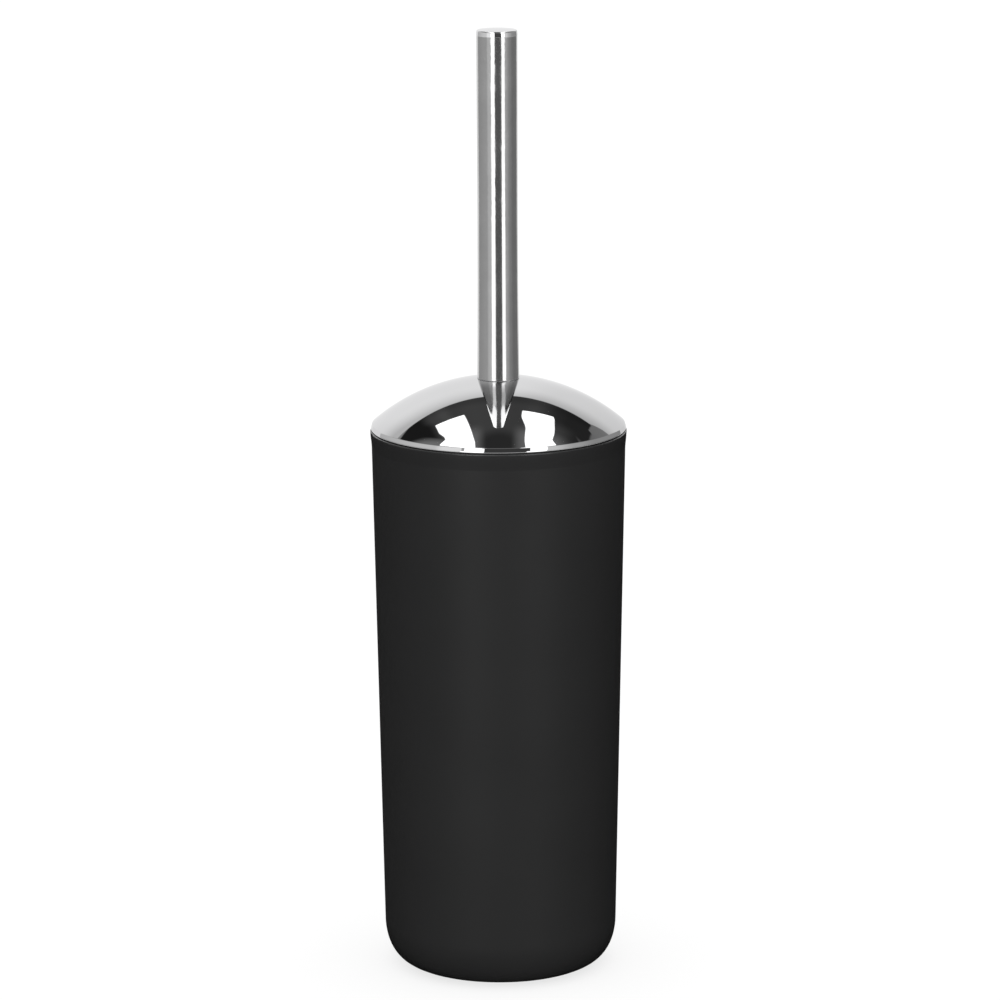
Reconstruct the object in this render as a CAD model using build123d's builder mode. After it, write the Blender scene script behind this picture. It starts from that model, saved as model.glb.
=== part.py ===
from build123d import *
import math
import os

# Free-standing toilet brush holder: a tapered matt black cup, a chromed dome
# lid that rests on its rim, and a brush whose steel handle stands on the lid.
# Millimetres, +Z up, origin at the centre of the footprint.

os.makedirs("parts", exist_ok=True)

# ---------------------------------------------------------------- dimensions
# overall
total_h = 371.6           # floor to top of the handle's end cap

# cup
rim_z = 215.0             # top of the cup
side_r0 = 45.52           # side line, extended down to the floor
side_r1 = 49.65           # side line, extended up to the rim
lip_r = 50.0              # faint bead around the mouth
lip_start_z = 208.5
cup_base_z = 0.3          # cup hangs this far above the floor on its foot ring
base_flat_r = 33.3        # where the rounded heel runs into the flat base
heel_z = 17.2             # where the side line runs into the rounded heel
wall_t = 2.5
floor_in_z = 4.2          # inner floor
floor_in_r = 31.0
inner_heel_z = 17.5
base_recess_r = 21.0
base_recess_d = 0.9

# non-slip ring under the cup
ring_ri, ring_ro, ring_top = 24.0, 31.0, 1.8
ring_clear = 0.05

# lid dome
dome_r = 49.76
dome_in_r = 48.5
dome_low_z = 215.45
band_mid_z = 215.95       # the band leans inwards above this height
crown_edge_r = 49.3       # the crown ends in a crease here
crown_rho = 75.75         # radius of the spherical crown
crown_apex_z = 235.60     # where the sphere would reach on the axis
dome_t = 1.2
seat_r = 8.4              # small flat that the handle stands on
crease_r = 0.45
m8_clear_r = 4.3

# lid plate (moulded underside of the lid)
plate_z0, plate_z1 = 213.0, 215.0
skirt_ri, skirt_ro, skirt_low = 44.7, 46.5, 207.0
flange_r = 49.2
flange_in_r = 48.42
flange_top = 216.1
hub_r = 8.3
rib_t, rib_count = 1.4, 6

# handle
washer_t = 0.15           # thin clear washer that keeps the steel off the chrome
tube_ri = 6.85
tube_top_z = 369.0
handle_profile = [(8.22, 0.0), (8.00, 20.0), (7.84, 53.7), (7.87, 95.0), (7.93, 132.5)]
cap_r = 8.02              # the cap's side leans in a little, from here
cap_top_r = 7.88          # to here
cap_gap = 0.02
cap_plug_len = 15.0
cap_rho = 60.0            # slight crown of the cap's top face
cap_round = 0.45          # its rounded edge

# M8 hardware, threads kept as plain cylinders
m8_r = 3.98
m8_hole_r = 4.02
stud_low, stud_high = 190.0, 251.0
nut_af, nut_h = 13.0, 6.5
nut_washer_ro, nut_washer_t = 10.5, 1.2

# stem below the lid
stem_ro, stem_ri = 6.0, 5.0
stem_low = 98.5
fit_gap = 0.02

# screw joint of the replaceable head: major diameter 10, pitch 3
head_stud_r = 4.90
head_stud_low = 84.5
head_bush_bore = 4.97
seal_t = 1.5
neck_top = stem_low - seal_t

# brush head
core_r = 11.5
core_neck_r = 8.6
bush_ro, bush_low = 6.9, 79.0
bristle_r = 37.5
bristle_low = 18.0
bristle_top = 88.0
split_z = 43.0            # side tufts above, tip tufts below
core_gap = 0.35


def side_r(z):
    """Outer radius of the cup's straight side at height z."""
    return side_r0 + (side_r1 - side_r0) * z / rim_z


def crown_z(r, rho=crown_rho):
    """Height of the dome's sphere at radius r, or of its inner face's."""
    return crown_apex_z - crown_rho + math.sqrt(rho * rho - r * r)


def cap_top_z(r):
    """Height of the end cap's crowned top at radius r."""
    return total_h - cap_rho + math.sqrt(cap_rho * cap_rho - r * r)


slope = (side_r1 - side_r0) / rim_z
cap_edge_z = cap_top_z(cap_top_r)
seat_z = crown_z(seat_r)
seat_in_z = crown_z(seat_r, crown_rho - dome_t)
tube_low_z = seat_z + washer_t

# ---------------------------------------------------------------- holder_cup
with BuildPart() as holder_cup:
    with BuildSketch(Plane.XZ):
        with BuildLine():
            heel = (side_r(heel_z), heel_z)
            under = (base_flat_r, cup_base_z)
            l1 = Line((0, cup_base_z + base_recess_d), (base_recess_r, cup_base_z + base_recess_d))
            l2 = Line(l1 @ 1, (base_recess_r + base_recess_d, cup_base_z))
            l3 = Line(l2 @ 1, (ring_ri - ring_clear, cup_base_z))
            l4 = Line(l3 @ 1, (ring_ri - ring_clear, ring_top))
            l5 = Line(l4 @ 1, (ring_ro + ring_clear, ring_top))
            l6 = Line(l5 @ 1, (ring_ro + ring_clear, cup_base_z))
            l7 = Line(l6 @ 1, under)
            b1 = Bezier(under, (base_flat_r + 7.9, cup_base_z),
                        (heel[0] - slope * 9.8, heel[1] - 9.8), heel)
            low_lip = (side_r(lip_start_z), lip_start_z)
            l8 = Line(heel, low_lip)
            b2 = Bezier(low_lip, (low_lip[0] + slope * 2.2, low_lip[1] + 2.2),
                        (lip_r, rim_z - 3.2), (lip_r, rim_z - 0.8))
            l9 = Line(b2 @ 1, (lip_r, rim_z))
            l10 = Line(l9 @ 1, (side_r(rim_z) - wall_t, rim_z))
            inner_heel = (side_r(inner_heel_z) - wall_t, inner_heel_z)
            l11 = Line(l10 @ 1, inner_heel)
            b3 = Bezier(inner_heel, (inner_heel[0] - slope * 7.5, inner_heel[1] - 7.5),
                        (floor_in_r + 6.5, floor_in_z), (floor_in_r, floor_in_z))
            l12 = Line(b3 @ 1, (0, floor_in_z))
            l13 = Line(l12 @ 1, l1 @ 0)
        make_face()
        outer_lip = vertices().sort_by_distance((lip_r, rim_z, 0))[0]
        fillet(outer_lip, 0.5)
        inner_lip = vertices().sort_by_distance((side_r(rim_z) - wall_t, rim_z, 0))[0]
        fillet(inner_lip, 0.9)
    revolve(axis=Axis.Z)
holder_cup.part.label = "holder_cup"
export_step(holder_cup.part, "parts/holder_cup.step")

# ----------------------------------------------------------------- foot_ring
with BuildPart() as foot_ring:
    with BuildSketch(Plane.XY):
        Circle(ring_ro)
        Circle(ring_ri, mode=Mode.SUBTRACT)
    extrude(amount=ring_top)
    chamfer(foot_ring.edges().filter_by(GeomType.CIRCLE).group_by(Axis.Z)[0], 0.25)
foot_ring.part.label = "foot_ring"
export_step(foot_ring.part, "parts/foot_ring.step")

# ----------------------------------------------------------------- lid_dome
with BuildPart() as lid_dome:
    with BuildSketch(Plane.XZ):
        with BuildLine():
            rho_in = crown_rho - dome_t
            edge_z = crown_z(crown_edge_r)
            l1 = Line((dome_r, dome_low_z), (dome_r, band_mid_z))
            l7 = Line(l1 @ 1, (crown_edge_r, edge_z))
            mid_r = (crown_edge_r + seat_r) / 2
            a1 = ThreePointArc(l7 @ 1, (mid_r, crown_z(mid_r)), (seat_r, seat_z))
            l2 = Line(a1 @ 1, (m8_clear_r, seat_z))
            l3 = Line(l2 @ 1, (m8_clear_r, seat_in_z))
            l4 = Line(l3 @ 1, (seat_r, seat_in_z))
            a2 = ThreePointArc((seat_r, seat_in_z), (mid_r, crown_z(mid_r, rho_in)),
                               (dome_in_r, crown_z(dome_in_r, rho_in)))
            l5 = Line(a2 @ 1, (dome_in_r, dome_low_z))
            l6 = Line(l5 @ 1, l1 @ 0)
        make_face()
        fillet(vertices().sort_by_distance((crown_edge_r, edge_z, 0))[0], crease_r)
        fillet(vertices().sort_by_distance((dome_r, band_mid_z, 0))[0], 0.9)
        fillet(vertices().sort_by_distance((dome_r, dome_low_z, 0))[0], 0.3)
    revolve(axis=Axis.Z)
lid_dome.part.label = "lid_dome"
export_step(lid_dome.part, "parts/lid_dome.step")

# ----------------------------------------------------------------- lid_plate
with BuildPart() as lid_plate:
    with BuildSketch(Plane.XZ):
        with BuildLine():
            Polyline(
                (m8_clear_r, plate_z0),
                (skirt_ri, plate_z0),
                (skirt_ri, skirt_low),
                (skirt_ro, skirt_low),
                (skirt_ro, plate_z1),
                (flange_r, plate_z1),
                (flange_r, dome_low_z),
                (flange_in_r, dome_low_z),
                (flange_in_r, flange_top),
                (flange_in_r - 1.6, flange_top),
                (flange_in_r - 1.6, plate_z1 + 0.4),
                (hub_r, plate_z1 + 0.4),
                (hub_r, seat_in_z),
                (m8_clear_r, seat_in_z),
                (m8_clear_r, plate_z0),
            )
        make_face()
        fillet(vertices().sort_by_distance((skirt_ro, skirt_low, 0))[0], 0.7)
        fillet(vertices().sort_by_distance((skirt_ri, plate_z0, 0))[0], 1.2)
    revolve(axis=Axis.Z)
    for i in range(rib_count):
        with BuildSketch(Plane.XZ.rotated((0, 0, i * 360.0 / rib_count))):
            with BuildLine():
                Polyline(
                    (hub_r - 0.8, plate_z1),
                    (42.0, plate_z1),
                    (42.0, plate_z1 + 1.6),
                    (hub_r - 0.8, 229.5),
                    (hub_r - 0.8, plate_z1),
                )
            make_face()
        extrude(amount=rib_t / 2, both=True)
lid_plate.part.label = "lid_plate"
export_step(lid_plate.part, "parts/lid_plate.step")

# --------------------------------------------------------------- lid_stud
with BuildPart() as lid_stud:
    with BuildSketch(Plane.XY.offset(stud_low)):
        Circle(m8_r)
    extrude(amount=stud_high - stud_low)
    chamfer(lid_stud.edges().filter_by(GeomType.CIRCLE), 0.8)
lid_stud.part.label = "lid_stud"
export_step(lid_stud.part, "parts/lid_stud.step")

# --------------------------------------------------------------- lid_washer
with BuildPart() as lid_washer:
    with BuildSketch(Plane.XY.offset(plate_z0 - nut_washer_t)):
        Circle(nut_washer_ro)
        Circle(m8_clear_r, mode=Mode.SUBTRACT)
    extrude(amount=nut_washer_t)
    fillet(lid_washer.edges().filter_by(GeomType.CIRCLE).group_by(SortBy.RADIUS)[-1], 0.25)
lid_washer.part.label = "lid_washer"
export_step(lid_washer.part, "parts/lid_washer.step")

# ------------------------------------------------------------------ lid_nut
nut_top = plate_z0 - nut_washer_t
nut_low = nut_top - nut_h
nut_corner_r = nut_af / math.sqrt(3)
with BuildPart() as lid_nut:
    with BuildSketch(Plane.XY.offset(nut_low)):
        RegularPolygon(radius=nut_af / 2, side_count=6, major_radius=False)
        Circle(m8_hole_r, mode=Mode.SUBTRACT)
    extrude(amount=nut_h)
    with BuildSketch(Plane.XZ):
        with BuildLine():
            bevel = 0.55
            Polyline(
                (0, nut_low), (nut_corner_r - 1.0, nut_low),
                (nut_corner_r + 0.02, nut_low + bevel),
                (nut_corner_r + 0.02, nut_top - bevel),
                (nut_corner_r - 1.0, nut_top), (0, nut_top), (0, nut_low),
            )
        make_face()
    revolve(axis=Axis.Z, mode=Mode.INTERSECT)
lid_nut.part.label = "lid_nut"
export_step(lid_nut.part, "parts/lid_nut.step")

# ------------------------------------------------------------ handle_washer
with BuildPart() as handle_washer:
    with BuildSketch(Plane.XY.offset(seat_z)):
        Circle(seat_r - 0.35)
        Circle(m8_clear_r, mode=Mode.SUBTRACT)
    extrude(amount=washer_t)
handle_washer.part.label = "handle_washer"
export_step(handle_washer.part, "parts/handle_washer.step")

# -------------------------------------------------------------- handle_tube
with BuildPart() as handle_tube:
    with BuildSketch(Plane.XZ):
        with BuildLine():
            span = (tube_top_z - tube_low_z) / handle_profile[-1][1]
            pts = [(r, tube_low_z + z * span) for r, z in handle_profile]
            s1 = Spline(pts)
            l1 = Line(s1 @ 1, (tube_ri, tube_top_z))
            l2 = Line(l1 @ 1, (tube_ri, tube_low_z))
            l3 = Line(l2 @ 1, s1 @ 0)
        make_face()
        fillet(vertices().sort_by_distance((pts[0][0], tube_low_z, 0))[0], 0.2)
        fillet(vertices().sort_by_distance((pts[-1][0], tube_top_z, 0))[0], 0.08)
    revolve(axis=Axis.Z)
handle_tube.part.label = "handle_tube"
export_step(handle_tube.part, "parts/handle_tube.step")

# ----------------------------------------------------------- handle_end_cap
with BuildPart() as handle_end_cap:
    with BuildSketch(Plane.XZ):
        with BuildLine():
            l1 = Line((0, tube_top_z - cap_plug_len), (tube_ri - cap_gap - 0.8, tube_top_z - cap_plug_len))
            l2 = Line(l1 @ 1, (tube_ri - cap_gap, tube_top_z - cap_plug_len + 1.6))
            l3 = Line(l2 @ 1, (tube_ri - cap_gap, tube_top_z))
            l4 = Line(l3 @ 1, (cap_r, tube_top_z))
            l5 = Line(l4 @ 1, (cap_top_r, cap_edge_z - cap_round))
            inner_top = (cap_top_r - cap_round, cap_top_z(cap_top_r - cap_round))
            b1 = Bezier(l5 @ 1, (cap_top_r - 0.04, cap_edge_z - 0.45 * cap_round),
                        (cap_top_r - 0.45 * cap_round, cap_top_z(cap_top_r - 0.45 * cap_round) - 0.01),
                        inner_top)
            half_r = (cap_top_r - cap_round) / 2
            a1 = ThreePointArc(b1 @ 1, (half_r, cap_top_z(half_r)), (0, total_h))
            l6 = Line(a1 @ 1, l1 @ 0)
        make_face()
        fillet(vertices().sort_by_distance((cap_r, tube_top_z, 0))[0], 0.1)
    revolve(axis=Axis.Z)
    # hollow of the moulded plug
    with BuildSketch(Plane.XY.offset(tube_top_z - cap_plug_len)):
        Circle(tube_ri - 2.2)
    extrude(amount=cap_plug_len - 1.5, mode=Mode.SUBTRACT)
handle_end_cap.part.label = "handle_end_cap"
export_step(handle_end_cap.part, "parts/handle_end_cap.step")

# --------------------------------------------------------- handle_foot_plug
with BuildPart() as handle_foot_plug:
    with BuildSketch(Plane.XY.offset(tube_low_z)):
        Circle(tube_ri - fit_gap)
    extrude(amount=20.0)
    with BuildSketch(Plane.XY.offset(tube_low_z)):
        Circle(m8_hole_r)
    extrude(amount=17.0, mode=Mode.SUBTRACT)
    chamfer(handle_foot_plug.edges().filter_by(GeomType.CIRCLE).group_by(Axis.Z)[-1], 0.6)
handle_foot_plug.part.label = "handle_foot_plug"
export_step(handle_foot_plug.part, "parts/handle_foot_plug.step")

# ---------------------------------------------------------------- stem_tube
with BuildPart() as stem_tube:
    with BuildSketch(Plane.XY.offset(stem_low)):
        Circle(stem_ro)
        Circle(stem_ri, mode=Mode.SUBTRACT)
    extrude(amount=nut_low - stem_low)
    chamfer(stem_tube.edges().filter_by(GeomType.CIRCLE).group_by(SortBy.RADIUS)[-1], 0.25)
stem_tube.part.label = "stem_tube"
export_step(stem_tube.part, "parts/stem_tube.step")

# ---------------------------------------------------------- stem_top_insert
with BuildPart() as stem_top_insert:
    with BuildSketch(Plane.XY.offset(nut_low - 20.0)):
        Circle(stem_ri - fit_gap)
    extrude(amount=20.0)
    with BuildSketch(Plane.XY.offset(nut_low)):
        Circle(m8_hole_r)
    extrude(amount=-(nut_low - stud_low + 2.0), mode=Mode.SUBTRACT)
stem_top_insert.part.label = "stem_top_insert"
export_step(stem_top_insert.part, "parts/stem_top_insert.step")

# --------------------------------------------------------- stem_foot_screw
with BuildPart() as stem_foot_screw:
    with BuildSketch(Plane.XZ):
        with BuildLine():
            Polyline(
                (0, head_stud_low),
                (head_stud_r - 0.9, head_stud_low),
                (head_stud_r, head_stud_low + 0.9),
                (head_stud_r, stem_low),
                (stem_ri - fit_gap, stem_low),
                (stem_ri - fit_gap, stem_low + 19.2),
                (stem_ri - fit_gap - 0.8, stem_low + 20.0),
                (0, stem_low + 20.0),
                (0, head_stud_low),
            )
        make_face()
    revolve(axis=Axis.Z)
stem_foot_screw.part.label = "stem_foot_screw"
export_step(stem_foot_screw.part, "parts/stem_foot_screw.step")

# ---------------------------------------------------------------- head_seal
with BuildPart() as head_seal:
    with BuildSketch(Plane.XY.offset(neck_top)):
        Circle(7.2)
        Circle(head_stud_r + 0.35, mode=Mode.SUBTRACT)
    extrude(amount=seal_t)
    fillet(head_seal.edges().filter_by(GeomType.CIRCLE).group_by(SortBy.RADIUS)[-1], 0.4)
head_seal.part.label = "head_seal"
export_step(head_seal.part, "parts/head_seal.step")

# ---------------------------------------------------------------- head_bush
with BuildPart() as head_bush:
    with BuildSketch(Plane.XY.offset(bush_low)):
        Circle(bush_ro)
        Circle(head_bush_bore, mode=Mode.SUBTRACT)
    extrude(amount=neck_top - bush_low)
    # two grip grooves that hold the moulding
    with BuildSketch(Plane.XZ):
        with Locations((bush_ro, bush_low + 5.0), (bush_ro, bush_low + 12.0)):
            Rectangle(1.2, 1.6)
    revolve(axis=Axis.Z, mode=Mode.SUBTRACT)
head_bush.part.label = "head_bush"
export_step(head_bush.part, "parts/head_bush.step")

# ---------------------------------------------------------------- head_core
with BuildPart() as head_core:
    with BuildSketch(Plane.XZ):
        with BuildLine():
            l1 = Line((0, 34.5), (0, bush_low - 3.0))
            l2 = Line(l1 @ 1, (head_bush_bore + 0.05, bush_low - 3.0))
            l3 = Line(l2 @ 1, (head_bush_bore + 0.05, bush_low))
            l4 = Line(l3 @ 1, (bush_ro + fit_gap, bush_low))
            l5 = Line(l4 @ 1, (bush_ro + fit_gap, neck_top))
            l6 = Line(l5 @ 1, (core_neck_r, neck_top))
            l7 = Line(l6 @ 1, (core_neck_r, bristle_top + 3.5))
            b1 = Bezier(l7 @ 1, (core_neck_r, bristle_top + 1.0), (core_r, bristle_top + 1.0),
                        (core_r, bristle_top - 2.5))
            l8 = Line(b1 @ 1, (core_r, 46.0))
            a1 = ThreePointArc((core_r, 46.0), (core_r * math.sin(math.radians(45)),
                               46.0 - core_r * math.cos(math.radians(45))), (0, 34.5))
        make_face()
    revolve(axis=Axis.Z)
head_core.part.label = "head_core"
export_step(head_core.part, "parts/head_core.step")

# ------------------------------------------------------------- bristles_side
with BuildPart() as bristles_side:
    with BuildSketch(Plane.XZ):
        with BuildLine():
            in_r = core_r + core_gap
            l1 = Line((in_r, split_z + 3.0), (in_r, bristle_top - 5.0))
            l2 = Line(l1 @ 1, (bristle_r - 3.5, bristle_top))
            b1 = Bezier(l2 @ 1, (bristle_r - 1.2, bristle_top), (bristle_r, bristle_top - 1.2),
                        (bristle_r, bristle_top - 3.5))
            l3 = Line(b1 @ 1, (bristle_r, split_z + 3.0))
            l4 = Line(l3 @ 1, (in_r, split_z + 3.0))
        make_face()
    revolve(axis=Axis.Z)
bristles_side.part.label = "bristles_side"
export_step(bristles_side.part, "parts/bristles_side.step")

# -------------------------------------------------------------- bristles_tip
with BuildPart() as bristles_tip:
    with BuildSketch(Plane.XZ):
        with BuildLine():
            top_z = split_z + 2.7
            core_c = 46.0
            ball_r = core_r + core_gap
            join_r = math.sqrt(ball_r ** 2 - (core_c - top_z) ** 2)
            half = math.radians(45)
            a1 = ThreePointArc((0, core_c - ball_r),
                               (ball_r * math.sin(half), core_c - ball_r * math.cos(half)),
                               (join_r, top_z))
            l1 = Line(a1 @ 1, (bristle_r, top_z))
            b1 = Bezier(l1 @ 1, (bristle_r, top_z - 15.0), (24.0, bristle_low),
                        (0, bristle_low))
            l2 = Line(b1 @ 1, a1 @ 0)
        make_face()
    revolve(axis=Axis.Z)
bristles_tip.part.label = "bristles_tip"
export_step(bristles_tip.part, "parts/bristles_tip.step")
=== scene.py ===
import math
import random

import bmesh
import bpy
from mathutils import Matrix, Vector


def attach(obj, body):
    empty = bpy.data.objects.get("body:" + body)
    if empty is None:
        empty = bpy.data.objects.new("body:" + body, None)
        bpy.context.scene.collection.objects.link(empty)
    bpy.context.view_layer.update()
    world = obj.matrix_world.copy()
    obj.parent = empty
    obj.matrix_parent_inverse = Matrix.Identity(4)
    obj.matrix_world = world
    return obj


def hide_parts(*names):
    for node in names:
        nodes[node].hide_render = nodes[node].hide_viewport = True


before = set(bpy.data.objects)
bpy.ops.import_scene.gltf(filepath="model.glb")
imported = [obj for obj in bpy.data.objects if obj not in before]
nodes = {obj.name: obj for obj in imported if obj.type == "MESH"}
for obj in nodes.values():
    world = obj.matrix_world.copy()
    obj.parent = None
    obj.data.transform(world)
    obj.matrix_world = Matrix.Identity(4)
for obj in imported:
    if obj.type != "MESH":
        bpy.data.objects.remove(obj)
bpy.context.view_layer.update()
scene = bpy.context.scene
rng = random.Random(20)

MM = 0.001


# ------------------------------------------------------------------ helpers
def new_material(name):
    mat = bpy.data.materials.new(name)
    mat.use_nodes = True
    tree = mat.node_tree
    tree.nodes.clear()
    out = tree.nodes.new("ShaderNodeOutputMaterial")
    bsdf = tree.nodes.new("ShaderNodeBsdfPrincipled")
    tree.links.new(bsdf.outputs[0], out.inputs["Surface"])
    return mat, tree, bsdf


def object_coords(tree, scale=(1, 1, 1)):
    tc = tree.nodes.new("ShaderNodeTexCoord")
    mp = tree.nodes.new("ShaderNodeMapping")
    mp.inputs["Scale"].default_value = scale
    tree.links.new(tc.outputs["Object"], mp.inputs["Vector"])
    return mp.outputs["Vector"]


def noise(tree, vec, scale, detail=3.0, rough=0.55, distortion=0.0):
    n = tree.nodes.new("ShaderNodeTexNoise")
    n.inputs["Scale"].default_value = scale
    n.inputs["Detail"].default_value = detail
    n.inputs["Roughness"].default_value = rough
    n.inputs["Distortion"].default_value = distortion
    tree.links.new(vec, n.inputs["Vector"])
    return n.outputs["Fac"]


def remap(tree, val, lo, hi, to_lo, to_hi):
    m = tree.nodes.new("ShaderNodeMapRange")
    m.inputs["From Min"].default_value = lo
    m.inputs["From Max"].default_value = hi
    m.inputs["To Min"].default_value = to_lo
    m.inputs["To Max"].default_value = to_hi
    tree.links.new(val, m.inputs["Value"])
    return m.outputs["Result"]


def math_node(tree, op, a, b=None):
    m = tree.nodes.new("ShaderNodeMath")
    m.operation = op
    for i, v in enumerate((a, b)):
        if v is None:
            continue
        if isinstance(v, (int, float)):
            m.inputs[i].default_value = v
        else:
            tree.links.new(v, m.inputs[i])
    return m.outputs[0]


def bump(tree, bsdf, height, strength, distance, chain=None):
    b = tree.nodes.new("ShaderNodeBump")
    b.inputs["Strength"].default_value = strength
    b.inputs["Distance"].default_value = distance
    tree.links.new(height, b.inputs["Height"])
    if chain is not None:
        tree.links.new(chain, b.inputs["Normal"])
    if bsdf is not None:
        tree.links.new(b.outputs[0], bsdf.inputs["Normal"])
    return b.outputs[0]


def tint(tree, val, lo_col, hi_col, lo=0.0, hi=1.0):
    r = tree.nodes.new("ShaderNodeValToRGB")
    r.color_ramp.elements[0].position = lo
    r.color_ramp.elements[0].color = (*lo_col, 1)
    r.color_ramp.elements[1].position = hi
    r.color_ramp.elements[1].color = (*hi_col, 1)
    tree.links.new(val, r.inputs["Fac"])
    return r.outputs["Color"]


def paint(node, mat):
    data = nodes[node].data if isinstance(node, str) else node.data
    if not data.materials:
        data.materials.append(mat)
    for i in range(len(data.materials)):
        data.materials[i] = mat


# ---------------------------------------------------------------- materials
def black_plastic(name, colour, rough, grain_mm, spec, bump_mm):
    mat, t, b = new_material(name)
    vec = object_coords(t)
    broad = noise(t, vec, 28.0, 2.0)
    fine = noise(t, vec, 1000.0 / grain_mm, 2.0, 0.6)
    col = tint(t, broad, tuple(c * 0.975 for c in colour), tuple(c * 1.025 for c in colour), 0.3, 0.7)
    t.links.new(col, b.inputs["Base Color"])
    r = remap(t, broad, 0.3, 0.7, rough - 0.008, rough + 0.008)
    r2 = remap(t, fine, 0.2, 0.8, -0.03, 0.03)
    t.links.new(math_node(t, "ADD", r, r2), b.inputs["Roughness"])
    b.inputs["Specular IOR Level"].default_value = spec
    bump(t, b, fine, 0.35, bump_mm * MM)
    return mat


def chrome(name, colour, rough):
    mat, t, b = new_material(name)
    b.inputs["Metallic"].default_value = 1.0
    b.inputs["Specular Tint"].default_value = (0.9, 0.9, 0.905, 1)
    vec = object_coords(t)
    smear = noise(t, vec, 60.0, 4.0, 0.6, 0.4)
    col = tint(t, smear, tuple(c * 0.985 for c in colour), colour, 0.35, 0.65)
    t.links.new(col, b.inputs["Base Color"])
    t.links.new(remap(t, smear, 0.45, 0.85, rough, rough + 0.015), b.inputs["Roughness"])
    wave = noise(t, vec, 55.0, 2.0, 0.5)
    bump(t, b, wave, 0.05, 0.4 * MM)
    return mat


def drawn_steel(name, colour, rough, spread=0.08, streak=0.3):
    """Stainless tube with the fine lengthwise grain that drawing and polishing leave."""
    mat, t, b = new_material(name)
    b.inputs["Metallic"].default_value = 1.0
    long_vec = object_coords(t, (1.0, 1.0, 0.02))
    grain = noise(t, long_vec, 1900.0, 3.0, 0.6)
    vec = object_coords(t)
    patch = noise(t, vec, 90.0, 3.0, 0.6)
    col = tint(t, patch, tuple(c * 0.95 for c in colour), colour, 0.35, 0.65)
    t.links.new(col, b.inputs["Base Color"])
    r = remap(t, patch, 0.35, 0.8, rough, rough + spread)
    r2 = remap(t, grain, 0.3, 0.7, -0.02, 0.03)
    t.links.new(math_node(t, "ADD", r, r2), b.inputs["Roughness"])
    wob = noise(t, object_coords(t, (1.0, 1.0, 0.35)), 160.0, 2.0, 0.5)
    first = bump(t, None, wob, 0.12, 0.25 * MM)
    bump(t, b, grain, streak, 0.01 * MM, first)
    return mat


def rubber(name, colour):
    mat, t, b = new_material(name)
    vec = object_coords(t)
    n = noise(t, vec, 900.0, 3.0)
    t.links.new(tint(t, n, tuple(c * 0.8 for c in colour), tuple(c * 1.3 for c in colour)), b.inputs["Base Color"])
    t.links.new(remap(t, n, 0.2, 0.8, 0.68, 0.86), b.inputs["Roughness"])
    bump(t, b, n, 0.3, 0.05 * MM)
    return mat


def turned_metal(name, colour, rough):
    mat, t, b = new_material(name)
    b.inputs["Metallic"].default_value = 1.0
    rings = noise(t, object_coords(t, (0.02, 0.02, 1.0)), 2600.0, 2.0)
    spots = noise(t, object_coords(t), 220.0, 4.0)
    t.links.new(tint(t, spots, tuple(c * 0.82 for c in colour), colour, 0.3, 0.7), b.inputs["Base Color"])
    t.links.new(remap(t, rings, 0.2, 0.8, rough - 0.05, rough + 0.1), b.inputs["Roughness"])
    bump(t, b, rings, 0.4, 0.02 * MM)
    return mat


M_CUP = black_plastic("cup_plastic", (0.0142, 0.0142, 0.0144), 0.38, 0.22, 0.5, 0.02)
M_LIDP = black_plastic("lid_plastic", (0.016, 0.016, 0.017), 0.42, 0.35, 0.35, 0.02)
M_HEADP = black_plastic("head_plastic", (0.018, 0.018, 0.019), 0.38, 0.4, 0.4, 0.02)
M_DOME = chrome("lid_chrome", (0.70, 0.70, 0.705), 0.02)
M_CAP = chrome("cap_chrome", (0.80, 0.80, 0.805), 0.05)
M_TUBE = drawn_steel("handle_steel", (0.62, 0.62, 0.62), 0.10)
M_STEM = drawn_steel("stem_steel", (0.60, 0.60, 0.60), 0.22)
M_RING = rubber("foot_rubber", (0.018, 0.018, 0.018))
M_SEAL = rubber("seal_rubber", (0.022, 0.022, 0.022))
M_HARD = turned_metal("hardware_steel", (0.58, 0.575, 0.565), 0.28)
M_BRASS = turned_metal("bush_brass", (0.72, 0.55, 0.27), 0.25)



def clear_plastic(name, colour, rough):
    """Clear polythene, slightly milky, with the faint waviness of a stamped washer."""
    mat, t, b = new_material(name)
    vec = object_coords(t)
    n = noise(t, vec, 700.0, 3.0)
    t.links.new(tint(t, n, tuple(c * 0.93 for c in colour), colour, 0.3, 0.7), b.inputs["Base Color"])
    t.links.new(remap(t, n, 0.2, 0.8, rough, rough + 0.12), b.inputs["Roughness"])
    b.inputs["Specular IOR Level"].default_value = 0.5
    bump(t, b, n, 0.2, 0.02 * MM)
    return mat


def nylon(name, colour):
    """White filament: each strand a little different, greyer in patches, finely ribbed by its crimp."""
    mat, t, b = new_material(name)
    vec = object_coords(t)
    strand = noise(t, vec, 420.0, 2.0, 0.6)
    patch = noise(t, vec, 70.0, 3.0, 0.55)
    mix = math_node(t, "ADD", math_node(t, "MULTIPLY", strand, 0.6), math_node(t, "MULTIPLY", patch, 0.4))
    t.links.new(tint(t, mix, tuple(c * 0.86 for c in colour), colour, 0.32, 0.62), b.inputs["Base Color"])
    t.links.new(remap(t, strand, 0.25, 0.75, 0.30, 0.48), b.inputs["Roughness"])
    b.inputs["Specular IOR Level"].default_value = 0.45
    ribs = noise(t, object_coords(t, (1.0, 1.0, 1.6)), 2400.0, 1.0)
    bump(t, b, ribs, 0.25, 0.03 * MM)
    return mat


M_CLEAR = clear_plastic("clear_washer", (0.20, 0.20, 0.205), 0.3)
M_NYLON = nylon("bristle_nylon", (0.86, 0.86, 0.84))

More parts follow.
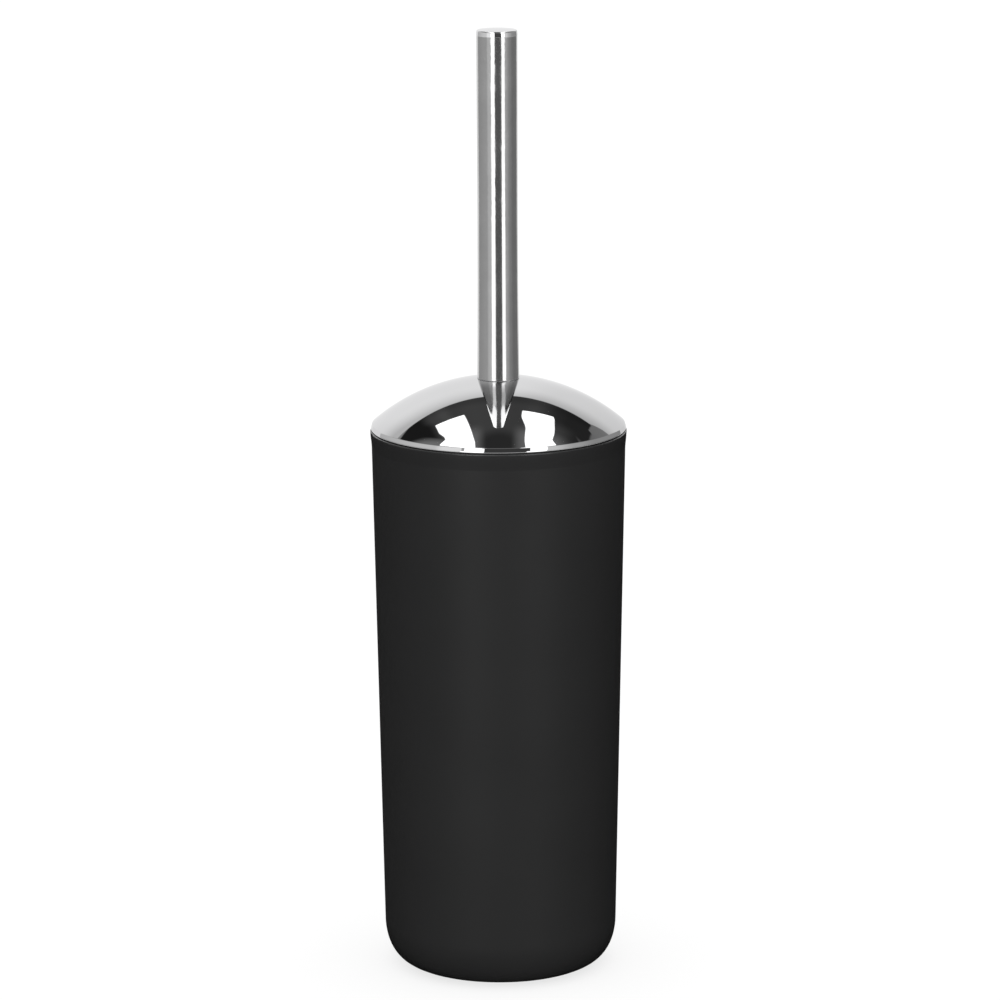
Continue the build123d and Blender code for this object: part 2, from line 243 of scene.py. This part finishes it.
for node, mat in {
    "holder_cup": M_CUP, "foot_ring": M_RING, "lid_dome": M_DOME, "lid_plate": M_LIDP,
    "lid_stud": M_HARD, "lid_washer": M_HARD, "lid_nut": M_HARD, "handle_washer": M_CLEAR,
    "handle_tube": M_TUBE, "handle_end_cap": M_CAP, "handle_foot_plug": M_HARD,
    "stem_tube": M_STEM, "stem_top_insert": M_HARD, "stem_foot_screw": M_HARD,
    "head_seal": M_SEAL, "head_bush": M_BRASS, "head_core": M_HEADP,
    "bristles_side": M_NYLON, "bristles_tip": M_NYLON,
}.items():
    paint(node, mat)

# ------------------------------------------------------------ detailed pieces
matt_extra, polished_extra = [], []


def new_piece(name, verts, faces, mat, body, replaced, flat_faces=0):
    """A mesh given in millimetres; its last flat_faces faces keep a flat shading."""
    me = bpy.data.meshes.new(name)
    me.from_pydata([(x * MM, y * MM, z * MM) for x, y, z in verts], [], faces)
    me.validate()
    count = len(me.polygons) - flat_faces
    me.polygons.foreach_set("use_smooth", [i < count for i in range(len(me.polygons))])
    me.materials.append(mat)
    me.update()
    ob = bpy.data.objects.new(name, me)
    scene.collection.objects.link(ob)
    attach(ob, body)
    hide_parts(*replaced)
    return ob


def lathe(section, steps, closed):
    """Points and faces of a turned form whose section may change with the angle.
    section(theta) gives (r, z) points; an open section begins and ends on the axis."""
    verts, faces = [], []
    rows = [section(2 * math.pi * i / steps) for i in range(steps)]
    n = len(rows[0])
    if closed:
        for i, row in enumerate(rows):
            a = 2 * math.pi * i / steps
            verts += [(r * math.cos(a), r * math.sin(a), z) for r, z in row]
        for i in range(steps):
            j = (i + 1) % steps
            for k in range(n):
                m = (k + 1) % n
                faces.append((i * n + k, j * n + k, j * n + m, i * n + m))
        return verts, faces
    inner = n - 2
    for i, row in enumerate(rows):
        a = 2 * math.pi * i / steps
        verts += [(r * math.cos(a), r * math.sin(a), z) for r, z in row[1:-1]]
    low, high = len(verts), len(verts) + 1
    verts += [(0, 0, rows[0][0][1]), (0, 0, rows[0][-1][1])]
    for i in range(steps):
        j = (i + 1) % steps
        for k in range(inner - 1):
            faces.append((i * inner + k, j * inner + k, j * inner + k + 1, i * inner + k + 1))
        faces.append((low, j * inner, i * inner))
        faces.append((high, i * inner + inner - 1, j * inner + inner - 1))
    return verts, faces


def thread_wave(z, theta, pitch, crest=0.22, root=0.26):
    """0 in the groove of a right-hand thread, 1 on its crest."""
    f = (z / pitch - theta / (2 * math.pi)) % 1.0
    flank = (1.0 - crest - root) / 2
    if f < root / 2 or f > 1 - root / 2:
        return 0.0
    if f < root / 2 + flank:
        u = (f - root / 2) / flank
    elif f < root / 2 + flank + crest:
        u = 1.0
    else:
        u = (1 - root / 2 - f) / flank
    return u * u * (3 - 2 * u) * 0.35 + u * 0.65


def levels(z0, z1, step):
    n = max(1, round((z1 - z0) / step))
    return [z0 + (z1 - z0) * i / n for i in range(n + 1)]


# screw in the stem's foot: coarse thread of pitch 3 mm below, plain plug above
def foot_screw_section(theta):
    pts = [(0, 84.5)]
    for z in levels(84.5, 97.0, 0.16):
        taper = min(1.0, (z - 84.5) / 1.1)
        fade = min(1.0, max(0.0, (97.0 - z) / 0.9))
        r = 4.12 + 0.76 * thread_wave(z, theta, 3.0) * fade
        pts.append((min(r, 3.95 + 0.93 * taper), z))
    pts += [(4.10, 97.15), (4.10, 98.30), (4.20, 98.48), (4.96, 98.52), (4.98, 98.62),
            (4.98, 108.0), (4.98, 117.6), (4.90, 117.8), (4.24, 118.46), (4.16, 118.5), (0, 118.5)]
    return pts


verts, faces = lathe(foot_screw_section, 72, False)
polished_extra.append(new_piece("stem_foot_screw_thread", verts, faces, M_HARD, "brush",
                                ["stem_foot_screw"]))


# M8 stud, pitch 1.25 mm, bevelled at both ends
def lid_stud_section(theta):
    pts = [(0, 190.0), (2.9, 190.0)]
    for z in levels(190.02, 250.98, 0.125):
        edge = min(z - 190.0, 251.0 - z)
        r = 3.36 + 0.60 * thread_wave(z, theta, 1.25, 0.16, 0.2)
        pts.append((min(r, 3.05 + 1.1 * edge), z))
    return pts + [(2.9, 251.0), (0, 251.0)]


verts, faces = lathe(lid_stud_section, 40, False)
polished_extra.append(new_piece("lid_stud_thread", verts, faces, M_HARD, "brush",
                                ["lid_stud"]))


# brass bush: grip grooves outside, the same coarse thread inside
def bush_section(theta):
    pts = [(6.75, 79.0), (6.9, 79.15), (6.9, 83.1), (6.82, 83.2), (6.35, 83.22), (6.3, 83.3),
           (6.3, 84.7), (6.35, 84.78), (6.82, 84.8), (6.9, 84.9), (6.9, 90.1), (6.82, 90.2),
           (6.35, 90.22), (6.3, 90.3), (6.3, 91.7), (6.35, 91.78), (6.82, 91.8), (6.9, 91.9),
           (6.9, 96.85), (6.75, 97.0), (5.25, 97.0)]
    for z in reversed(levels(79.3, 96.7, 0.16)):
        mouth = max(0.0, 1.0 - (96.7 - z) / 0.9, 1.0 - (z - 79.3) / 0.9)
        pts.append((4.36 + 0.61 * max(thread_wave(z, theta, 3.0), mouth), z))
    return pts + [(5.25, 79.0)]


verts, faces = lathe(bush_section, 72, True)
polished_extra.append(new_piece("head_bush_thread", verts, faces, M_BRASS, "brush_head",
                                ["head_bush"]))

# bristles: crimped filaments in tufts that sit in the core, strand by strand
CORE_R, CORE_Z, BRUSH_R, STRAND_R = 11.5, 46.0, 37.4, 0.215
profile = []
for i in range(201):
    s = i / 200
    a, b_, c, d = (1 - s) ** 3, 3 * (1 - s) ** 2 * s, 3 * (1 - s) * s * s, s ** 3
    profile.append((37.5 * a + 37.5 * b_ + 24 * c, 45.7 * a + 30.7 * b_ + 18 * c + 18 * d))


def tip_floor(r):
    """Lowest height of the rounded end of the brush at radius r."""
    for (r0, z0), (r1, z1) in zip(profile, profile[1:]):
        if r1 <= r <= r0:
            return z0 + (z1 - z0) * (r0 - r) / max(r0 - r1, 1e-6)
    return 18.0


FLOOR_AT = [tip_floor(r * 0.25) for r in range(151)]


def trimmed(p, side):
    """True where the point is inside the outline that the brush is trimmed to."""
    r = math.hypot(p.x, p.y)
    if r > BRUSH_R:
        return False
    if not side:
        return p.z > FLOOR_AT[min(150, int(r * 4))] + 0.15
    if r < 34.0:
        return p.z < 83.0 + (r - 11.85) * 5.0 / 22.15
    return p.z < 84.5 or ((r - 34.0) / 3.5) ** 2 + ((p.z - 84.5) / 3.5) ** 2 < 1.0


def strand(verts, faces, caps, root, way, across, up, spread_a, spread_b, side):
    """One crimped filament from its root along its way, splayed towards its end and trimmed."""
    def at(s):
        bow = s ** 1.25
        return root + way * (30.0 * s) + across * (spread_a * bow) + up * (spread_b * bow)
    lo, hi = 0.05, 1.25
    if side is None:
        hi = 0.86
    else:
        for _ in range(18):
            mid = (lo + hi) / 2
            if trimmed(at(mid), side):
                lo = mid
            else:
                hi = mid
    end = lo * (1 - rng.random() ** 2 * 0.035)
    count = 10
    turn = rng.uniform(0, 2 * math.pi)
    wave = (across * math.cos(turn) + up * math.sin(turn)) * rng.uniform(0.2, 0.34)
    drift = (across * rng.uniform(-1, 1) + up * rng.uniform(-1, 1)) * 0.45
    side_a = (across * math.cos(turn + 0.9) + up * math.sin(turn + 0.9)) * STRAND_R
    side_b = way.cross(side_a)
    base = len(verts)
    for k in range(count + 1):
        s = end * k / count
        p = at(s)
        if k:
            p = p + wave * (1 if k % 2 else -1) * min(1.0, k / 3) + drift * math.sin(s * 3.0)
        for j in range(3):
            a = 2 * math.pi * j / 3
            q = p + side_a * math.cos(a) + side_b * math.sin(a)
            r = math.hypot(q.x, q.y)
            if r > 37.45:
                q = Vector((q.x * 37.45 / r, q.y * 37.45 / r, q.z))
            verts.append((q.x, q.y, q.z))
    for k in range(count):
        for j in range(3):
            m = (j + 1) % 3
            a = base + k * 3
            faces.append((a + j, a + m, a + 3 + m, a + 3 + j))
    caps.append((base + 2, base + 1, base))
    top = base + count * 3
    caps.append((top, top + 1, top + 2))


def tuft(store, centre, way, across, up, count, wide, tall, side):
    verts, faces, caps = store
    for _ in range(count):
        a = rng.uniform(0, 2 * math.pi)
        q = math.sqrt(rng.random())
        ca, cb = q * math.cos(a), q * math.sin(a)
        root = centre + across * (1.25 * ca) + up * (1.25 * cb)
        spread_a = wide * (ca * 0.8 + rng.uniform(-0.3, 0.3))
        spread_b = tall * (cb * 0.8 + rng.uniform(-0.3, 0.3))
        strand(verts, faces, caps, root, way, across, up, spread_a, spread_b, side)


stores = {"low": ([], [], []), "high": ([], [], []), "tip": ([], [], [])}
ROWS = [49.3 + 4.75 * i for i in range(8)]
for i, z in enumerate(ROWS):
    for k in range(18):
        a = 2 * math.pi * (k + 0.5 * (i % 2)) / 18 + rng.uniform(-0.035, 0.035)
        out = Vector((math.cos(a), math.sin(a), 0))
        across = Vector((-math.sin(a), math.cos(a), 0))
        tilt = -0.02 + 0.135 * (i / 7) ** 2
        way = (out + Vector((0, 0, tilt))).normalized()
        up = across.cross(way) * -1.0
        if up.z < 0:
            up = -up
        tuft(stores["low" if i < 4 else "high"], out * (CORE_R - 0.8) + Vector((0, 0, z)),
             way, across, up, 40, 7.6, 3.9, True)
for polar, count in ((0, 1), (21, 6), (42, 11), (63, 15), (84, 16)):
    for k in range(count):
        a = 2 * math.pi * (k + 0.37 * (count % 4)) / count
        f = math.radians(polar)
        way = Vector((math.sin(f) * math.cos(a), math.sin(f) * math.sin(a), -math.cos(f)))
        across = Vector((-math.sin(a), math.cos(a), 0))
        up = way.cross(across)
        tuft(stores["tip"], Vector((0, 0, CORE_Z)) + way * (CORE_R - 0.8),
             way, across, up, 36, 5.6, 5.2 if polar < 80 else 3.4, False)

for name, key, node in (("bristle_tufts_lower", "low", ["bristles_side"]),
                        ("bristle_tufts_upper", "high", ["bristles_side"]),
                        ("bristle_tufts_tip", "tip", ["bristles_tip"])):
    verts, faces, caps = stores[key]
    matt_extra.append(new_piece(name, verts, faces + caps, M_NYLON, "brush_head", node,
                                len(caps)))

# -------------------------------------------------------------------- stage
HUB = Vector((0, 0, 0.225))
KEY, TOP = 5.0, 1.3
POLISHED = ("lid_dome", "handle_tube", "handle_end_cap", "lid_stud", "lid_washer", "lid_nut",
            "handle_foot_plug", "stem_tube", "stem_top_insert", "stem_foot_screw", "head_bush")


def lit_group(name, objs):
    """A set of objects that a light of the studio is flagged to, as a gaffer would flag it."""
    group = bpy.data.collections.new(name)
    for o in objs:
        group.objects.link(o)
    return group


polished_group = lit_group("polished", [nodes[n] for n in POLISHED] + polished_extra)
matt_group = lit_group("matt", [o for n, o in nodes.items() if n not in POLISHED] + matt_extra)


def direction(az, el):
    """Unit vector for a bearing measured from the camera's side (-Y), positive towards +X."""
    a, e = math.radians(az), math.radians(el)
    return Vector((math.sin(a) * math.cos(e), -math.cos(a) * math.cos(e), math.sin(e)))


def emitter(name, strength):
    mat = bpy.data.materials.new(name)
    mat.use_nodes = True
    t = mat.node_tree
    t.nodes.clear()
    out = t.nodes.new("ShaderNodeOutputMaterial")
    em = t.nodes.new("ShaderNodeEmission")
    em.inputs["Strength"].default_value = strength
    t.links.new(em.outputs[0], out.inputs["Surface"])
    return mat, t, em


def stage_mesh(name, verts, faces, strength, group, sampled=True):
    me = bpy.data.meshes.new(name)
    me.from_pydata(verts, [], faces)
    ob = bpy.data.objects.new(name, me)
    scene.collection.objects.link(ob)
    mat, t, em = emitter(name, strength)
    if not sampled:
        mat.cycles.emission_sampling = "NONE"
    me.materials.append(mat)
    ob.visible_camera = False
    ob.visible_shadow = False
    ob.visible_transmission = False
    ob.light_linking.receiver_collection = group
    return ob, t, em


# world: white to the eye, dim as a light
world = bpy.data.worlds.new("studio")
scene.world = world
world.use_nodes = True
wt = world.node_tree
wt.nodes.clear()
w_out = wt.nodes.new("ShaderNodeOutputWorld")
w_mix = wt.nodes.new("ShaderNodeMixShader")
w_path = wt.nodes.new("ShaderNodeLightPath")
w_dim = wt.nodes.new("ShaderNodeBackground")
w_dim.inputs["Color"].default_value = (0.035, 0.035, 0.035, 1)
w_white = wt.nodes.new("ShaderNodeBackground")
w_white.inputs["Color"].default_value = (1, 1, 1, 1)
w_white.inputs["Strength"].default_value = 1.0
wt.links.new(w_path.outputs["Is Camera Ray"], w_mix.inputs[0])
wt.links.new(w_dim.outputs[0], w_mix.inputs[1])
wt.links.new(w_white.outputs[0], w_mix.inputs[2])
wt.links.new(w_mix.outputs[0], w_out.inputs["Surface"])

# floor: white paint that glows a little, so the contact shadow stays faint
floor_mesh = bpy.data.meshes.new("floor")
DROP = -0.00005  # just under the foot ring, so that the two never share a plane
floor_mesh.from_pydata([(-40, -40, DROP), (40, -40, DROP), (40, 40, DROP), (-40, 40, DROP)], [], [(0, 1, 2, 3)])
floor = bpy.data.objects.new("floor", floor_mesh)
scene.collection.objects.link(floor)
fmat, ft, fb = new_material("floor_paint")
fb.inputs["Base Color"].default_value = (0.24, 0.24, 0.24, 1)
fb.inputs["Roughness"].default_value = 0.95
fb.inputs["Specular IOR Level"].default_value = 0.0
fb.inputs["Emission Color"].default_value = (1, 1, 1, 1)
fb.inputs["Emission Strength"].default_value = 0.78
fmat.cycles.emission_sampling = "NONE"
floor_mesh.materials.append(fmat)
floor.visible_glossy = False


# soft daylight on the floor and on everything matt
def sun(name, rot, strength, angle, glossy=False):
    d = bpy.data.lights.new(name, "SUN")
    d.energy = strength
    d.angle = math.radians(angle)
    o = bpy.data.objects.new(name, d)
    o.rotation_euler = [math.radians(v) for v in rot]
    o.visible_glossy = glossy
    scene.collection.objects.link(o)
    return o


sun("sky_fill", (0, 0, 0), 3.4, 110)

def soft_light(name, centre, width, height, radiance):
    """A rectangular soft light that faces the hub and is flagged to the matt pieces."""
    d = bpy.data.lights.new(name, "AREA")
    d.shape = "RECTANGLE"
    d.size, d.size_y = width, height
    d.energy = radiance * width * height * math.pi
    o = bpy.data.objects.new(name, d)
    o.location = centre
    o.rotation_euler = (HUB - Vector(centre)).to_track_quat("-Z", "Y").to_euler()
    o.visible_camera = False
    o.light_linking.receiver_collection = matt_group
    scene.collection.objects.link(o)
    return o


# light for the plastic, the rubber and the bristles: two tall strips in front, left and right,
# weak fills at the sides, rim lights behind and two softboxes overhead
for name, az, width, power in (("key_left", -24, 1.1, KEY), ("key_right", 34, 1.0, KEY * 0.9)):
    soft_light(name, tuple(direction(az, 0) * 2.6 + Vector((0, 0, 1.72))), width, 3.1, power)
for name, az, width, power in (("fill_left", -100, 2.2, 0.6), ("fill_right", 100, 2.2, 0.15),
                               ("rim_left", -150, 1.5, 2.4), ("rim_right", 153, 1.3, 2.2), ("rim_back", 180, 1.1, 2.6)):
    soft_light(name, tuple(direction(az, 0) * 2.6 + Vector((0, 0, 1.9))), width, 3.6, power)
for name, x, power in (("top_left", -0.78, TOP), ("top_right", 0.78, TOP)):
    soft_light(name, (x, 0.25, 2.6), 0.62, 1.9, power)


# what the polished metal sees: a tent with a backdrop, side walls, a dark ceiling with two
# softboxes and two tall strips, laid out by bearing and height round the object
def tent():
    bm = bmesh.new()
    bmesh.ops.create_icosphere(bm, subdivisions=5, radius=8.0)
    me = bpy.data.meshes.new("tent")
    bm.to_mesh(me)
    bm.free()
    ob = bpy.data.objects.new("tent", me)
    ob.location = HUB
    scene.collection.objects.link(ob)
    mat, t, em = emitter("tent", 1.0)
    mat.cycles.emission_sampling = "NONE"
    me.materials.append(mat)
    ob.visible_camera = False
    ob.visible_shadow = False
    ob.visible_diffuse = False
    ob.visible_transmission = False
    ob.light_linking.receiver_collection = polished_group

    tc = t.nodes.new("ShaderNodeTexCoord")
    nrm = t.nodes.new("ShaderNodeVectorMath")
    nrm.operation = "NORMALIZE"
    t.links.new(tc.outputs["Object"], nrm.inputs[0])
    sep = t.nodes.new("ShaderNodeSeparateXYZ")
    t.links.new(nrm.outputs[0], sep.inputs[0])
    x, y, z = sep.outputs

    def op(kind, a, b=None, c=None):
        m = t.nodes.new("ShaderNodeMath")
        m.operation = kind
        for i, v in enumerate((a, b, c)):
            if v is None:
                continue
            if isinstance(v, (int, float)):
                m.inputs[i].default_value = v
            else:
                t.links.new(v, m.inputs[i])
        return m.outputs[0]

    def add(a, b): return op("ADD", a, b)
    def sub(a, b): return op("SUBTRACT", a, b)
    def mul(a, b): return op("MULTIPLY", a, b)

    def step(v, lo, hi):
        """0 below lo, 1 above hi, smooth between."""
        m = t.nodes.new("ShaderNodeMapRange")
        m.interpolation_type = "SMOOTHSTEP"
        m.inputs["From Min"].default_value = lo
        m.inputs["From Max"].default_value = hi
        t.links.new(v, m.inputs["Value"])
        return m.outputs["Result"]

    def rise(v, edge, soft):
        """1 where v is over edge, which may itself be a socket."""
        return step(sub(v, edge), -soft / 2, soft / 2)

    def fall(v, edge, soft):
        return sub(1.0, rise(v, edge, soft))

    def over(base, top, mask):
        """top laid over base where the mask is 1."""
        return add(mul(base, sub(1.0, mask)), mul(top, mask))

    def ramp(v, pts):
        """A smooth curve through a few (angle, brightness) points."""
        out = pts[0][1]
        for (a0, b0), (a1, b1) in zip(pts, pts[1:]):
            out = add(out, mul(step(v, a0, a1), b1 - b0))
        return out

    flat = op("MAXIMUM", op("SQRT", add(mul(x, x), mul(y, y))), 1e-4)
    sin_az = op("DIVIDE", x, flat)
    back = op("DIVIDE", y, flat)
    az = op("DEGREES", op("ARCTAN2", x, mul(y, -1.0)))
    el = op("DEGREES", op("ARCSINE", z))
    fall_off = sub(90.0, el)
    px = mul(fall_off, sin_az)
    py = mul(fall_off, back)

    # ceiling
    wide = op("ABSOLUTE", px)
    lean = sub(px, mul(fall(py, 30.0, 6.0), 1.3))
    e = ramp(lean, [(-29, 0.013), (-24, 0.062), (-20, 0.078), (-16, 0.058), (-10, 0.064), (8, 0.056), (13, 0.064),
                  (22, 0.027), (26, 0.021)])
    e = mul(e, ramp(py, [(34, 1.0), (42, 0.78)]))
    e = over(e, 0.028, fall(fall_off, 10.0, 9.0))
    e = add(e, mul(ramp(wide, [(5, 0.0), (11, 0.10)]), mul(fall(py, 13.0, 12.0), fall(wide, 16.0, 3.0))))
    e = add(e, mul(mul(rise(px, 21.0, 2.0), fall(px, 29.0, 8.0)), ramp(py, [(8, 0.14), (20, 0.03), (30, 0.0)])))
    e = over(e, 0.17, mul(fall(wide, 26.0, 4.0), fall(py, -15.0, 6.0)))
    # top edge of the left wall
    glow = mul(fall(px, -22.5, 2.0), fall(py, sub(-18.7, mul(px, 1.25)), 5.0))
    e = over(e, 0.20, glow)
    # softboxes overhead
    lift = add(28.2, mul(add(px, 12.7), 0.10))
    notch = sub(mul(fall(py, 16.0, 7.0), 1.5), mul(fall(py, 10.9, 0.6), 2.2))
    notch = sub(notch, mul(fall(py, 2.0, 14.0), 1.0))
    box = mul(mul(rise(px, add(-24.5, notch), 0.6), fall(px, sub(-10.5, mul(py, 0.088)), 0.6)),
              mul(fall(py, lift, 0.7), rise(py, -27.0, 1.2)))
    e = over(e, 2.2, box)
    lift = sub(add(30.3, mul(sub(px, 8.7), 0.12)), mul(rise(px, 20.9, 1.6), 3.0))
    inner = ramp(py, [(-12, 13.5), (9, 11.6), (13, 11.5), (26, 9.0)])
    outer = ramp(py, [(-14, 29.0), (9.5, 25.0), (11.2, 23.4), (14, 23.4), (34, 20.8)])
    box = mul(mul(rise(px, inner, 0.6), fall(px, outer, 0.6)), mul(fall(py, lift, 0.7), rise(py, -25.5, 1.2)))
    e = over(e, 2.2, box)
    # side walls
    left = ramp(az, [(-125, 0.38), (-62, 0.45), (-52, 0.63)])
    left = mul(left, ramp(el, [(24, 1.0), (29, 0.82)]))
    right = ramp(az, [(50, 0.48), (76, 0.29), (98, 0.21)])
    side = over(left, right, rise(az, 5.0, 2.0))
    side = mul(side, ramp(el, [(-9, 1.0), (4, 1.55)]))
    side = mul(side, ramp(el, [(22, 1.0), (36, 0.62), (48, 0.45)]))
    spread = op("ABSOLUTE", az)
    near = mul(mul(rise(spread, 25.0, 2.0), fall(spread, 112.0, 6.0)), fall(el, 56.5, 3.0))
    on_right = rise(az, 0.0, 1.0)
    far = mul(rise(spread, 112.0, 6.0), fall(el, add(39.6, mul(on_right, 11.4)), 1.2))
    wedge = rise(px, ramp(py, [(20, 36.6), (27, 35.3), (34, 35.1), (36.5, 33.2), (41, 32.6), (45, 31.0)]), 0.8)
    far = mul(far, over(1.0, wedge, mul(on_right, rise(py, 22.0, 4.0))))
    e = over(e, side, add(near, far))
    # front: two strips with a dark gap between them
    gap = ramp(el, [(-30, 0.13), (-20, 0.13), (-4, 0.13), (6, 0.05), (26, 0.05), (29, 0.14), (36, 0.18)])
    front = mul(mul(rise(az, -24.0, 1.0), fall(az, 34.0, 1.0)), fall(el, 58.0, 10.0))
    e = over(e, gap, front)
    low = fall(el, 57.0, 3.0)
    band = mul(rise(el, 16.0, 2.0), fall(el, 27.0, 2.0))
    e = over(e, 0.42, mul(mul(rise(az, -34.5, 0.8), fall(az, -30.0, 0.8)), band))
    start = ramp(el, [(14, -34.3), (18, -31.7), (26, -31.7), (29, -33.0), (36, -35.8), (46, -40.0), (55, -48.0)])
    end = ramp(el, [(25, -13.2), (30, -16.0), (51, -18.0)])
    strip = mul(rise(az, start, 0.8), fall(az, end, 0.8))
    e = over(e, ramp(el, [(25, 1.9), (27, 2.6), (30, 2.6), (35, 1.3)]), mul(strip, low))
    start = ramp(el, [(14, 25.0), (18, 29.6), (26, 29.6), (28.5, 20.0), (55, 28.5)])
    end = ramp(el, [(14, 43.6), (18, 46.0), (26, 46.0), (29, 38.0), (36, 42.0), (46, 55.0), (55, 66.0)])
    strip = mul(rise(az, start, 0.8), fall(az, end, 1.2))
    e = over(e, ramp(el, [(25, 1.9), (27, 2.2), (30, 2.2), (34, 1.3), (44, 0.85)]), mul(strip, low))
    # backdrop
    edge = add(45.2, sub(mul(px, 0.09), mul(mul(px, px), 0.0035)))
    edge = sub(edge, mul(op("MAXIMUM", sub(px, 6.0), 0.0), 0.06))
    low = mul(op("MAXIMUM", sub(61.0, py), 0.0), 0.05)
    tone = op("MAXIMUM", sub(1.0, mul(mul(low, low), 0.41)), 0.65)
    tone = mul(tone, mul(ramp(px, [(-38, 0.92), (-26, 1.0)]), ramp(px, [(4, 1.0), (18, 0.89), (40, 0.80)])))
    tone = mul(tone, sub(1.0, mul(mul(fall(py, 52.0, 12.0), rise(px, 8.0, 10.0)), 0.10)))
    turn = ramp(el, [(0, -133.0), (32, -131.0)])
    behind = add(fall(az, turn, 0.8), rise(az, ramp(el, [(28, 141.8), (37, 143.8)]), 0.8))
    e = over(e, tone, mul(behind, rise(py, edge, 0.9)))
    # table in front and below
    e = over(e, 0.85, fall(el, -33.0, 6.0))
    t.links.new(e, em.inputs["Strength"])


tent()

# ------------------------------------------------------------------- camera
cam_data = bpy.data.cameras.new("camera")
cam = bpy.data.objects.new("camera", cam_data)
scene.collection.objects.link(cam)
cam_data.sensor_width = 36.0
cam_data.lens = 5014.9 / 1000.0 * 36.0
cam.location = (0.0, -1.917, 0.6076)
cam.rotation_euler = (math.radians(90 - 12.39), 0, 0)
cam.rotation_euler = (Matrix.Rotation(math.radians(90 - 12.39), 3, "X") @ Matrix.Rotation(math.radians(-0.25), 3, "Z")).to_euler()
cam_data.shift_x = 0.0012
cam_data.clip_start = 0.05
cam_data.clip_end = 200
scene.camera = cam

scene.view_settings.view_transform = "Standard"
scene.view_settings.look = "None"
